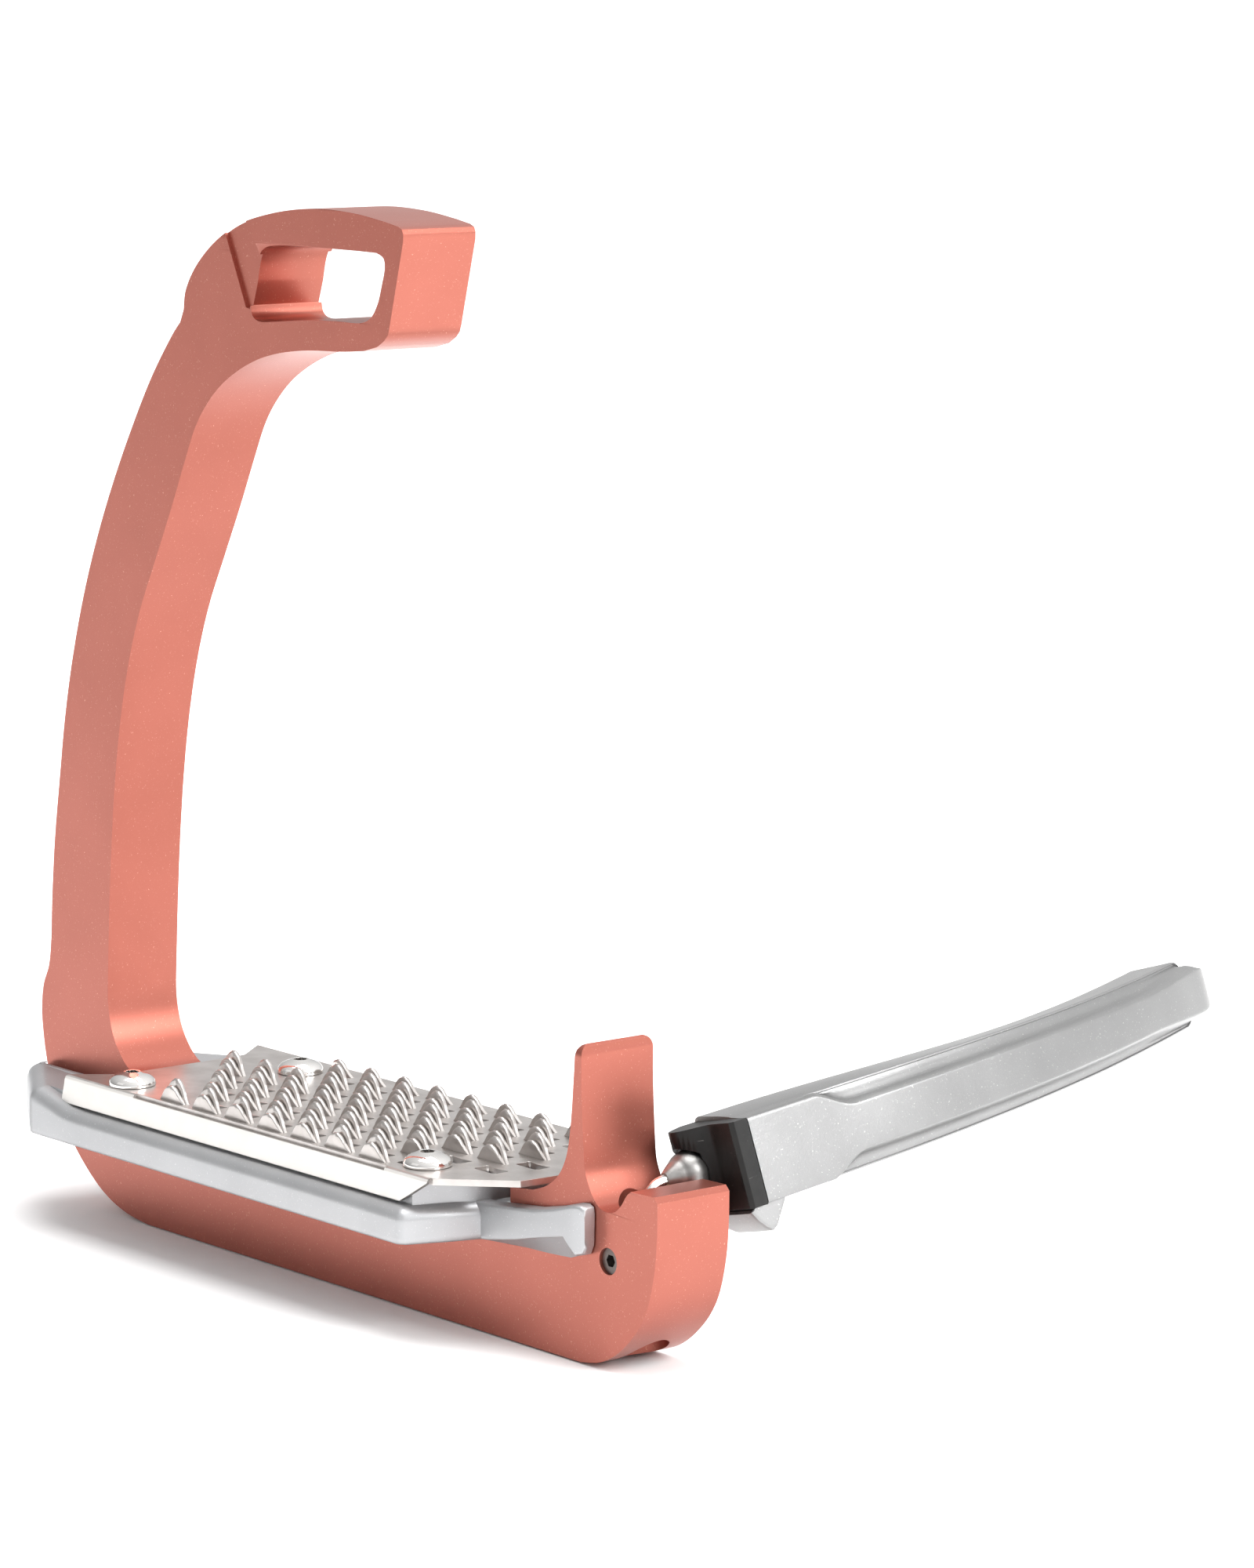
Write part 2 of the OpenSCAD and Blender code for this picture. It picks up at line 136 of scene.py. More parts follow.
def lathe(name, prof, at, n=64, frame3=None):
    """Turned solid: profile of (radius, height) from axis to axis."""
    ax = frame3 or (Vector((1, 0, 0)), Vector((0, 1, 0)), Vector((0, 0, 1)))
    at = Vector(at)
    verts, rows = [], []
    for r, h in prof:
        if r < 1e-6:
            rows.append([len(verts)] * n)
            verts.append(at + ax[2] * h)
        else:
            rows.append(list(range(len(verts), len(verts) + n)))
            for k in range(n):
                a = 2 * math.pi * k / n
                verts.append(at + ax[0] * (r * math.cos(a)) + ax[1] * (r * math.sin(a)) + ax[2] * h)
    faces = []
    for u, v in zip(rows, rows[1:]):
        for k in range(n):
            l = (k + 1) % n
            f = []
            for q in (u[k], u[l], v[l], v[k]):
                if q not in f:
                    f.append(q)
            if len(f) > 2:
                faces.append(tuple(f))
    return make(name, [tuple(v) for v in verts], faces)


def join(name, obs):
    bm = bmesh.new()
    for o in obs:
        bm.from_mesh(o.data)
    me = bpy.data.meshes.new(name)
    bm.to_mesh(me)
    bm.free()
    for o in obs:
        bpy.data.objects.remove(o)
    ob = bpy.data.objects.new(name, me)
    bpy.context.scene.collection.objects.link(ob)
    return ob


def cut(ob, *cutters):
    for c in cutters:
        mod = ob.modifiers.new("cut", "BOOLEAN")
        mod.operation = "DIFFERENCE"
        mod.solver = "EXACT"
        mod.object = c
    bake(ob)
    for c in cutters:
        bpy.data.objects.remove(c)
    return ob


def bake(ob):
    bpy.context.view_layer.update()
    dg = bpy.context.evaluated_depsgraph_get()
    me = bpy.data.meshes.new_from_object(ob.evaluated_get(dg), preserve_all_data_layers=True, depsgraph=dg)
    ob.modifiers.clear()
    ob.data = me


def finish_mesh(ob, width=0.0, segments=3, angle=30, sharp=32, clean=True):
    """Rounds the sharp edges, then shades smooth with flat faces kept flat."""
    me = ob.data
    if clean:
        bm = bmesh.new()
        bm.from_mesh(me)
        bmesh.ops.remove_doubles(bm, verts=bm.verts, dist=2e-6)
        bmesh.ops.dissolve_degenerate(bm, edges=bm.edges, dist=1e-6)
        bm.to_mesh(me)
        bm.free()
    if width:
        mod = ob.modifiers.new("round", "BEVEL")
        mod.width = width * MM
        mod.segments = segments
        mod.limit_method = "ANGLE"
        mod.angle_limit = math.radians(angle)
        mod.use_clamp_overlap = True
        mod.harden_normals = False
        bake(ob)
    for p in ob.data.polygons:
        p.use_smooth = True
    ob.data.set_sharp_from_angle(angle=math.radians(sharp))
    mod = ob.modifiers.new("normals", "WEIGHTED_NORMAL")
    mod.keep_sharp = True
    mod.weight = 80
    bake(ob)
    return ob


def xz(p, y):
    return (p[0], y, p[1])


# ---------------------------------------------------------------- materials
def nodes_of(name):
    mat = bpy.data.materials.new(name)
    mat.use_nodes = True
    nt = mat.node_tree
    return mat, nt, nt.nodes["Principled BSDF"]


def noise(nt, scale, detail=4.0, rough=0.55, stretch=None, distortion=0.0):
    tc = nt.nodes.new("ShaderNodeTexCoord")
    mp = nt.nodes.new("ShaderNodeMapping")
    if stretch:
        mp.inputs["Scale"].default_value = stretch
    nz = nt.nodes.new("ShaderNodeTexNoise")
    nz.inputs["Scale"].default_value = scale
    nz.inputs["Detail"].default_value = detail
    nz.inputs["Roughness"].default_value = rough
    nz.inputs["Distortion"].default_value = distortion
    nt.links.new(tc.outputs["Object"], mp.inputs["Vector"])
    nt.links.new(mp.outputs["Vector"], nz.inputs["Vector"])
    return nz


def ramp(nt, src, stops):
    r = nt.nodes.new("ShaderNodeValToRGB")
    e = r.color_ramp.elements
    while len(e) < len(stops):
        e.new(0.5)
    for el, (pos, col) in zip(e, stops):
        el.position = pos
        el.color = (*col, 1.0) if len(col) == 3 else col
    nt.links.new(src, r.inputs["Fac"])
    return r


def metal(name, lo, hi, metallic, r_lo, r_hi, grain=2600.0, bump=0.25, bump_d=0.00002,
          blotch=90.0, fleck=None, stretch=None, scuff=None):
    """Satin metal: slow colour drift, fine grain in roughness and bump, optional bright flecks and scuffs."""
    mat, nt, b = nodes_of(name)
    slow = noise(nt, blotch, 3.0, 0.5)
    col = ramp(nt, slow.outputs["Fac"], [(0.3, lo), (0.7, hi)]).outputs["Color"]
    fine = noise(nt, grain, 5.0, 0.65, stretch)
    if fleck:
        f = ramp(nt, fine.outputs["Fac"], [(0.62, (0, 0, 0)), (0.74, (1, 1, 1))])
        mx = nt.nodes.new("ShaderNodeMix")
        mx.data_type = "RGBA"
        nt.links.new(f.outputs["Color"], mx.inputs[0])
        nt.links.new(col, mx.inputs[6])
        mx.inputs[7].default_value = (*fleck, 1)
        col = mx.outputs[2]
    if scuff:
        s = noise(nt, 420.0, 6.0, 0.7, (1, 1, 3), 1.2)
        f = ramp(nt, s.outputs["Fac"], [(0.66, (0, 0, 0)), (0.8, (1, 1, 1))])
        mx = nt.nodes.new("ShaderNodeMix")
        mx.data_type = "RGBA"
        nt.links.new(f.outputs["Color"], mx.inputs[0])
        nt.links.new(col, mx.inputs[6])
        mx.inputs[7].default_value = (*scuff, 1)
        col = mx.outputs[2]
    nt.links.new(col, b.inputs["Base Color"])
    b.inputs["Metallic"].default_value = metallic
    mr = nt.nodes.new("ShaderNodeMapRange")
    mr.inputs["To Min"].default_value = r_lo
    mr.inputs["To Max"].default_value = r_hi
    nt.links.new(fine.outputs["Fac"], mr.inputs["Value"])
    nt.links.new(mr.outputs["Result"], b.inputs["Roughness"])
    bp = nt.nodes.new("ShaderNodeBump")
    bp.inputs["Strength"].default_value = bump
    bp.inputs["Distance"].default_value = bump_d
    nt.links.new(fine.outputs["Fac"], bp.inputs["Height"])
    nt.links.new(bp.outputs["Normal"], b.inputs["Normal"])
    return mat


M_ROSE = metal("rose_coat", (0.385, 0.116, 0.083), (0.415, 0.127, 0.092), 0.82, 0.27, 0.40, 3200, 0.35, 0.00003,
               60, fleck=(0.70, 0.36, 0.28))
M_SILVER = metal("silver_satin", (0.42, 0.425, 0.435), (0.47, 0.475, 0.485), 0.75, 0.34, 0.5, 3600, 0.3, 0.00002,
                 70, fleck=(0.8, 0.8, 0.8))
M_ARM = metal("arm_satin", (0.305, 0.305, 0.305), (0.335, 0.335, 0.335), 0.85, 0.28, 0.42, 2600, 0.55, 0.00005,
               90, fleck=(0.75, 0.74, 0.72))
M_PLATE = metal("tumbled_stainless", (0.47, 0.44, 0.42), (0.60, 0.57, 0.55), 0.9, 0.24, 0.42, 1500, 0.35, 0.00003, 240)
# painted sheen: a lighter copy of the sheet's tumbled stainless, put on the flange faces turned towards ±Y to stand in
# for the bright reflection they catch
M_FLANGE_PAINTED_SHEEN = metal("flange_painted_sheen", (0.75, 0.73, 0.70), (0.78, 0.76, 0.73), 0.55, 0.4, 0.6, 1800, 0.3, 0.00003, 300)
M_CHROME = metal("polished_steel", (0.80, 0.78, 0.76), (0.86, 0.84, 0.82), 1.0, 0.07, 0.16, 1200, 0.05, 0.00001, 200)
M_STEEL = metal("plain_steel", (0.50, 0.50, 0.51), (0.60, 0.60, 0.61), 1.0, 0.25, 0.42, 2000, 0.2, 0.00001, 200)
M_DARK = metal("dark_steel", (0.10, 0.085, 0.08), (0.16, 0.14, 0.13), 0.9, 0.3, 0.5, 2200, 0.2, 0.00002, 200)
M_BALL = metal("worn_steel", (0.20, 0.195, 0.19), (0.40, 0.39, 0.38), 0.95, 0.26, 0.52, 900, 0.4, 0.00003, 420,
               scuff=(0.14, 0.12, 0.11))
M_WIRE = metal("wire_steel", (0.55, 0.54, 0.52), (0.70, 0.69, 0.67), 1.0, 0.2, 0.35, 2000, 0.2, 0.00001, 300)
M_BRASS = metal("guide_brass", (0.62, 0.47, 0.22), (0.72, 0.56, 0.28), 1.0, 0.25, 0.4, 1800, 0.2, 0.00001, 200)
M_CAP = metal("black_plastic", (0.006, 0.006, 0.006), (0.012, 0.0115, 0.011), 0.0, 0.34, 0.5, 900, 0.4, 0.00004, 300,
              scuff=(0.16, 0.155, 0.15))


def principled(mat):
    return next(n for n in mat.node_tree.nodes if n.type == "BSDF_PRINCIPLED")


principled(M_CAP).inputs["Specular IOR Level"].default_value = 0.28
principled(M_ROSE).inputs["Coat Weight"].default_value = 0.12
principled(M_ROSE).inputs["Coat Roughness"].default_value = 0.32


def dress(ob, mat, body, slot, *nodes):
    ob.data.materials.clear()
    ob.data.materials.append(mat)
    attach(ob, body)
    if nodes:
        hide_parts(*nodes)


# ---------------------------------------------------------------- cast frame
outer_low = [(-50, 0), (-56, 0.8), (-61.5, 2.6), (-66.5, 5.6), (-71.5, 10), (-76, 16), (-78.6, 22), (-79.7, 27),
             (-80, 31), (-79.4, 35), (-77.7, 38.5), (-76.9, 43), (-76.4, 50), (-75.3, 60), (-73.6, 70), (-71.8, 80),
             (-69.3, 90), (-65.8, 100.5), (-61.5, 110.5), (-56.5, 120), (-51, 129), (-45.5, 137), (-40, 143.5),
             (-37.4, 146)]
outer_eye = [(-36.4, 148), (-35.8, 151), (-33.4, 154.4), (-29.5, 157.7), (-25, 160.3), (-20, 162.2), (-13, 163.7),
             (-6, 164.6), (1, 164.9), (9, 164.5), (16, 163.6)]
eye_end = [(19.4, 163), (20.3, 162.6), (20.65, 161.9), (20.6, 160.8), (17.1, 148), (16.7, 146.9), (15.8, 146), (14, 145)]
inner_edge = [(10.6, 144.2), (5, 143.8), (-5, 143.4), (-13.5, 142.2), (-20, 140.2), (-26, 137.2), (-30.5, 133.6),
              (-33.8, 129.6), (-36.8, 124), (-40.6, 116.5), (-45.2, 108), (-49.6, 99.8), (-52.9, 91.5), (-55.4, 82.5),
              (-57.2, 73), (-58.5, 63), (-59.5, 52), (-60.2, 41), (-60.4, 35), (-59.4, 30.5), (-57.4, 27.2),
              (-54.6, 24.8), (-51, 23.6)]
tongue_in = [(51, 23.8), (54, 24.9), (56.6, 26.7), (58.2, 28.9), (59.2, 31.6), (59.9, 36), (60.4, 41), (60.75, 45.2)]
tongue_out = [(62.3, 45.6), (62.3, 41), (62.5, 36), (62.8, 31.5), (63.1, 28.8), (64, 26.6), (65.4, 24.6), (66.8, 23.75),
              (68.4, 23.5), (70, 23.9), (71.4, 25.1), (72.6, 26.7), (73.6, 27.5)]
block_out = [(79.6, 26.8), (79.5, 22), (79, 17), (77.6, 11.6), (75.5, 7.8), (72.6, 4.7), (69.4, 2.3), (66, 0.8), (62, 0.1)]
frame_pts = (curve(outer_low, 6) + curve(outer_eye, 6) + eye_end + curve(inner_edge, 6)
             + [(-48.2, 21.8), (-48.2, 17.5), (45.5, 17.5), (45.5, 23.2)] + curve(tongue_in, 6)
             + [(60.95, 46.2), (61.3, 46.9), (61.7, 47.1), (62.1, 46.7)] + curve(tongue_out, 6) + [(78.8, 27.6)]
             + curve(block_out, 5))
slot_pts = (curve([(-18.4, 149.6), (-17.9, 148), (-16, 147.2), (-12, 147.4), (-4.5, 148), (4, 148.3), (9.5, 148.3),
                   (12.4, 149.2), (14.2, 151.4), (15.2, 154), (16, 156.6), (15.7, 158.2), (14, 158.9)], 5)
            + curve([(10, 159), (-3, 159.1), (-11, 159), (-14.6, 158.4), (-16.2, 156.6), (-17.2, 153)], 5))


def bar_cutter(name, c, ax, r, h, n=48):
    ax = Vector(ax).normalized()
    u = ax.orthogonal().normalized()
    return lathe(name, [(0, 0), (r, 0), (r, h), (0, h)], c, n, (u, ax.cross(u), ax))


branch = prism("branch", [frame_pts, slot_pts], xz, -W, W)
# the tongue's top corners are rounded off in the view along X
cut(branch,
    bar_cutter("c1", (68.4, 0, -1), (0, 0, 1), 3.7, 32, 64),
    bar_cutter("c2", (68.4, -W - 1, 16.3), (0, 1, 0), 2.0, W + 0.4),
    bar_cutter("c5", (-24, 0, 5), (0, 0, 1), 2.5, 14),
    bar_cutter("c6", (24, 0, 5), (0, 0, 1), 2.5, 14),
    prism("c3", [[(-25.2, 160.9), (-20.2, 163.4), (-15.2, 156.7), (-17.0, 152.8), (-18.6, 149.0), (-19.6, 149.2)]], xz,
          -W - 1, -W + 0.55),
    *[prism("c7", [[(s * (W + 1), 49), (s * (W - 1.8), 49)] + [(s * (W - 1.8 + 1.8 * math.sin(math.radians(t))),
        45.2 + 1.8 * math.cos(math.radians(t)) + 0.12) for t in range(0, 91, 15)] + [(s * (W + 1), 45.3)]],
        lambda p, x: (x, p[0], p[1]), 57, 64) for s in (-1, 1)],
    prism("c4", [[(-25.2, 160.9), (-20.2, 163.4), (-15.2, 156.7), (-17.0, 152.8), (-18.6, 149.0), (-19.6, 149.2)]], xz,
          W - 0.55, W + 1))
finish_mesh(branch, 0.55, 3, 28)
dress(branch, M_ROSE, "frame", "rose_coat", "frame")

# ---------------------------------------------------------------- tread
H = 21.0
half = [(-79.5, 6.85), (-79.5, 8.4), (-78.6, 10.2), (-77.6, 11.4), (-76, 12.5), (-62, 21), (-60.6, 21.0), (-20, 21),
        (30, 21), (36.2, 21), (37.6, 20.2), (39.6, 15.4), (40.2, 14.0), (42.0, 8.4), (42.6, 6.85)]
notchR = [(42.6, 6.85), (42.6, -6.85)]
plan = ([(-48, -6.85)] + [(x, -y) for x, y in half] + [(x, y) for x, y in reversed(half)] + [(-48, 6.85)])


def inset(poly, g, lift=None):
    out = []
    n = len(poly)
    for i in range(n):
        a, b, c = Vector(poly[i - 1]), Vector(poly[i]), Vector(poly[(i + 1) % n])
        d1, d2 = (b - a).normalized(), (c - b).normalized()
        n1, n2 = Vector((-d1.y, d1.x)), Vector((-d2.y, d2.x))
        k = max(1.0 + n1.dot(n2), 0.35)
        out.append(tuple(b + (n1 + n2) * (g / k)))
    return out


def refine(poly, step=4.0):
    out = []
    n = len(poly)
    for i in range(n):
        a, b = poly[i], poly[(i + 1) % n]
        k = max(1, int(math.dist(a, b) / step))
        out += [(lerp(a[0], b[0], j / k), lerp(a[1], b[1], j / k)) for j in range(k)]
    return out


plan = refine(plan)
area = sum(a[0] * b[1] - b[0] * a[1] for a, b in zip(plan, plan[1:] + plan[:1]))
if area < 0:
    plan.reverse()


def rise(x):
    return 2.1 * smooth(-x, 50.5, 61)


rings = []
for g, z, k in ((1.0, 14.8, 0), (0.35, 14.95, 0), (0.06, 15.3, 0), (0, 15.9, 0), (0, 18.4, 0.75), (0.1, 19.0, 0.88), (0.4, 19.6, 0.96),
                (0.9, 20.05, 1), (1.5, 20.35, 1), (2.2, 20.5, 1), (2.9, 20.55, 1)):
    ring = inset(plan, g)
    rings.append([(p[0], p[1], z + k * rise(q[0])) for p, q in zip(ring, plan)])


def shell(name, rings):
    """As loft, but its two end caps are cut into triangles, because the plan is not convex."""
    n = len(rings[0])
    verts = [p for r in rings for p in r]
    faces = []
    for i in range(len(rings) - 1):
        for j in range(n):
            k = (j + 1) % n
            faces.append((i * n + j, i * n + k, (i + 1) * n + k, (i + 1) * n + j))
    for i in (0, len(rings) - 1):
        for t in tessellate_polygon([[Vector((p[0], p[1], 0)) for p in rings[i]]]):
            faces.append(tuple(i * n + q for q in t))
    return make(name, verts, faces)


base = shell("base", rings)
# seat under the grip plate
seat_plan = refine([(-48.4, -17.9), (36.4, -17.9), (38.6, -12), (41, -7), (41, 7), (38.6, 12), (36.4, 17.9), (-48.4, 17.9)], 6)
seat = shell("seat", [[(x, y, 20.2) for x, y in seat_plan], [(x, y, 24.2) for x, y in seat_plan],
                      [(x * 0.996, y * 0.985, 24.5) for x, y in seat_plan]])
prongs = []
for s in (-1, 1):
    top = [(40, 20.45), (43, 20.6), (48, 21.1), (54, 21.7), (59, 22.8), (63, 23.95), (64.6, 24.1), (65.4, 23.7), (65.6, 22.6)]
    low = [(40, 14.8), (43, 15.1), (49.6, 16.3), (55, 17.6), (61, 18.85), (62.4, 17.6), (63.6, 16.6), (64.9, 17.0), (65.6, 18.2)]
    ins = [(40, 14.8), (43, 14.8), (49.6, 14.85), (55, 15.0), (60, 15.3), (61.8, 15.9), (63.2, 16.3), (64.7, 16.8), (65.4, 18.2)]
    rr = []
    for t, l, q in zip(top, low, ins):
        y0, y1 = 6.85, 9.3 - (0.5 if t[0] > 65 else 0.15 if t[0] > 64.4 else 0)
        rr.append([(t[0] - 0.05, s * y0, t[1] + 0.1), (t[0], s * (y1 - 0.7), t[1] + 0.08), (t[0], s * (y1 - 0.25), t[1] - 0.1),
                   (t[0], s * y1, t[1] - 0.55), (l[0], s * y1, l[1] + 0.5), (l[0], s * (y1 - 0.15), l[1] + 0.12),
                   (l[0], s * (y1 - 0.6), l[1] - 0.1), (q[0], s * y0, q[1])])
    prongs.append(loft("prong", rr))
tread = join("tread", [base, seat] + prongs)
cutters = [prism("pocket", [refine([(-45, y - 3.8), (35, y - 3.8), (35, y + 3.8), (-45, y + 3.8)], 200)],
                 lambda p, z: (p[0], p[1], z), 13, 17.5) for y in (-14, 14)]
cut(base_tread := tread, *cutters)
finish_mesh(tread, 0.25, 2, 40, 38)
dress(tread, M_SILVER, "frame", "silver_anodised", "tread_body")

# ---------------------------------------------------------------- grip plate
Z0, Z1 = 24.55, 25.55
PX, PY, ROWS = 8.72, 6.45, 5
SCREWS = [(-41, -15.2), (-32.2, 11.2), (34.6, -13.7), (43.4, 11.2)]


def row_x(r):
    return -0.1 + r * PX / 5


def row_y(r):
    return -16.6 + r * PY


def in_plate(x, y):
    return (x > (-33 if y < -10 else -40) and x < 46 and x < 54 - abs(y) * 1.05
            and min(math.dist((x, y), s) for s in SCREWS) > 5.8)


cells = [(row_x(r) + i * PX, row_y(r), r) for r in range(ROWS + 1) for i in range(-6, 7)
         if in_plate(row_x(r) + i * PX, row_y(r))]
PLY = 19.1
EDGE = PLY - 0.7
plate_out = [(-54.3, -EDGE), (42.1, -EDGE), (51.4, -9.4), (51.9, -4), (51.9, 4), (51.4, 9.4), (42.1, EDGE), (-54.3, EDGE),
             (-49.3, 12.3), (-49, 7.2), (-49, -7.2), (-49.3, -12.3)]
holes = []
for x, y, r in cells:
    if r > 0:
        x0, x1, y0, y1 = x + 1.9, x + 7.1, y - 5.9, y - 2.95
        far = [(lerp(x0, x1, t), y1 - 0.5 * math.sin(math.pi * t)) for t in (0.06, 0.15, 0.28, 0.42, 0.58, 0.72, 0.85, 0.94)]
        holes.append([(x0, y1 - 0.35)] + far + [(x1, y1 - 0.35), (x1, y0 + 0.5), (x1 - 0.5, y0), (x0 + 0.5, y0), (x0, y0 + 0.5)])
sheet = prism("sheet", [plate_out] + holes, lambda p, z: (p[0], p[1], z), Z0, Z1)
finish_mesh(sheet, 0.18, 2, 40, 30)
def bend(side, xa, xb, top=True):
    """Edge of the sheet folded down; without its top it leaves a slit under the near teeth."""
    if top:
        sec = [(0.72, Z1)] + [(0.7 - 0.7 * math.sin(math.radians(t)), Z1 - 0.7 + 0.7 * math.cos(math.radians(t)))
                              for t in (12, 28, 45, 62, 78, 90)] + [(0, 23.5), (0, 21.1), (0.12, 20.92), (0.85, 20.9), (0.97, 21.1), (1.0, 24.55), (0.72, 24.55)]
    else:
        sec = [(0.05, 24.92), (0.0, 24.8), (0, 23.5), (0, 21.1), (0.12, 20.92), (0.85, 20.9), (0.97, 21.1), (1.0, 24.9)]
    return loft("bend", [[(fx(z), side * (PLY - u), z) for u, z in sec] for fx in (xa, xb)])


def x_left(z):
    return -54.3 - 0.28 * (Z1 - z)


def x_right(z):
    return 41.6 - 1.75 * max(0.0, 24.9 - z)


flaps = [bend(-1, x_left, lambda z: -35.0), bend(-1, lambda z: -35.0, lambda z: 31.0, False),
         bend(-1, lambda z: 31.0, x_right), bend(1, x_left, x_right)]
for f in flaps:
    finish_mesh(f, 0, 0, 40, 30)
    f.data.materials.append(M_PLATE)
    f.data.materials.append(M_FLANGE_PAINTED_SHEEN)
    for q in f.data.polygons:
        # painted sheen: faces turned towards ±Y take the lighter copy of the sheet's metal, the rest keep the plain one
        q.material_index = 1 if abs(q.normal.y) > 0.75 else 0


def tooth(x, y, h, w, lean, dark=False):
    """Bent flap: a rounded triangle that rises out of the sheet and curls over its height."""
    outline = curve([(-w, 0), (-w * 0.78, h * 0.22), (-w * 0.57, h * 0.56), (-1.2, h * 0.87), (-0.1, h), (0.95, h * 0.88),
                     (w * 0.47, h * 0.58), (w * 0.67, h * 0.24), (w * 0.9, 0)], 3)
    mid = len(outline) // 2
    L, R = outline[:mid + 1], outline[mid:][::-1]
    levels = [0, 0.12, 0.28, 0.45, 0.62, 0.78, 0.9, 0.97, 1.0]

    def at(side, z):
        pts = side
        for a, b in zip(pts, pts[1:]):
            if (a[1] - z) * (b[1] - z) <= 0 and abs(a[1] - b[1]) > 1e-9:
                return lerp(a[0], b[0], (z - a[1]) / (b[1] - a[1]))
        return pts[-1][0]
    ring_list = []
    for t in levels:
        z = h * t
        xl, xr = (at(L, z), at(R, z)) if t < 1 else (-0.6, 0.42)
        yc = lean * 1.1 * (1 - t) ** 2.4
        th = 0.38 * (1 if t < 0.95 else 0.86 if t < 1 else 0.55)
        e = 0.16
        ring_list.append([(x + xl, y + yc - th + e, Z1 - 0.15 + z), (x + xl + e, y + yc - th, Z1 - 0.15 + z),
                          (x + (xl + xr) / 2, y + yc - th, Z1 - 0.15 + z), (x + xr - e, y + yc - th, Z1 - 0.15 + z),
                          (x + xr, y + yc - th + e, Z1 - 0.15 + z), (x + xr, y + yc + th - e, Z1 - 0.15 + z),
                          (x + xr - e, y + yc + th, Z1 - 0.15 + z), (x + (xl + xr) / 2, y + yc + th, Z1 - 0.15 + z),
                          (x + xl + e, y + yc + th, Z1 - 0.15 + z), (x + xl, y + yc + th - e, Z1 - 0.15 + z)])
    return loft("tooth", ring_list)


teeth = []
for x, y, r in cells:
    teeth.append(tooth(x, y - 1.05, 2.7, 3.7, 0.35))
    if r < ROWS:
        teeth.append(tooth(x, y, 3.75, 3.9, -0.35))
teeth = join("teeth", teeth)
finish_mesh(teeth, 0, 0, 30, 50)
for o in (sheet, teeth):
    o.data.materials.append(M_PLATE)
    o.data.materials.append(M_FLANGE_PAINTED_SHEEN)
grip = join("grip_sheet", [sheet] + flaps + [teeth])
for p in grip.data.polygons:
    p.use_smooth = True
grip.data.set_sharp_from_angle(angle=math.radians(42))
mod = grip.modifiers.new("normals", "WEIGHTED_NORMAL")
mod.keep_sharp = True
bake(grip)
grip.data.materials.append(M_PLATE)
grip.data.materials.append(M_FLANGE_PAINTED_SHEEN)
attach(grip, "frame")
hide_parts("grip_plate")

# ---------------------------------------------------------------- button screws
heads = []
for x, y in SCREWS:
    prof = [(0, -7.4), (1.8, -7.4), (1.95, -7.2), (1.95, 0), (3.55, 0), (3.7, 0.12), (3.7, 0.4)]
    prof += [(3.7 * math.cos(a) ** 0.9, 0.4 + 1.8 * math.sin(a)) for a in [math.radians(k) for k in (8, 18, 29, 41, 53, 63)]]
    prof += [(1.32, 2.2), (1.22, 2.16)]
    o = lathe("head", prof + [(0, 2.16)], (x, y, Z1), 56)
    sock = [(x + 1.16 * math.cos(math.radians(60 * k + 12)), y + 1.16 * math.sin(math.radians(60 * k + 12))) for k in range(6)]
    cut(o, prism("sock", [sock], lambda p, z: (p[0], p[1], z), Z1 + 1.0, Z1 + 4))
    heads.append(finish_mesh(o, 0.05, 2, 45, 40))
heads = join("button_screws", heads)
dress(heads, M_CHROME, "frame", "polished_steel", "grip_screws")

# ---------------------------------------------------------------- release arm
BX = 68.4
BC, BO, RA, SA = Vector((BX, 0, 25.5)), Vector((BX, 8.55, 27.1)), math.radians(86.5), math.radians(16.8)
ctn = 1 / math.tan(RA / 2)
PIV = Vector((BX, (BC.y + BO.y + (BO.z - BC.z) * ctn) / 2, (BC.z + BO.z - (BO.y - BC.y) * ctn) / 2))
M_TIPONLY = Matrix.Translation(PIV) @ Matrix.Rotation(-RA, 4, "X") @ Matrix.Translation(-PIV)
M_TIP = M_TIPONLY @ Matrix.Translation(BC) @ Matrix.Rotation(SA, 4, Vector((0.27, 0.48, -0.84)).normalized()) @ Matrix.Translation(-BC)


def tipped(ob, mtx=M_TIP):
    for v in ob.data.vertices:
        v.co = (mtx @ (v.co / MM)) * MM
    ob.data.update()
    return ob


arm_out = [(79, 31.2), (78.6, 35), (77.8, 41), (76.9, 48), (75.7, 58), (73.8, 69), (71, 81), (67.4, 93), (62.6, 105),
           (57, 116), (50.8, 126.5), (45.2, 135), (41.2, 140.8), (38.0, 144.9)]
arm_in = [(63.3, 31.2), (63.3, 36), (63, 44), (62.2, 53), (60.4, 64), (57.4, 76), (53.8, 88), (49.6, 99), (44.5, 109.5),
          (38.5, 119.5), (32.3, 128.7), (28.6, 133.4), (26.6, 136.9)]


def resample(pts, fr):
    d = [0]
    for a, b in zip(pts, pts[1:]):
        d.append(d[-1] + math.dist(a, b))
    out = []
    for f in fr:
        t = f * d[-1]
        i = max(j for j in range(len(d)) if d[j] <= t + 1e-9)
        i = min(i, len(pts) - 2)
        k = (t - d[i]) / (d[i + 1] - d[i])
        out.append((lerp(pts[i][0], pts[i + 1][0], k), lerp(pts[i][1], pts[i + 1][1], k)))
    return out


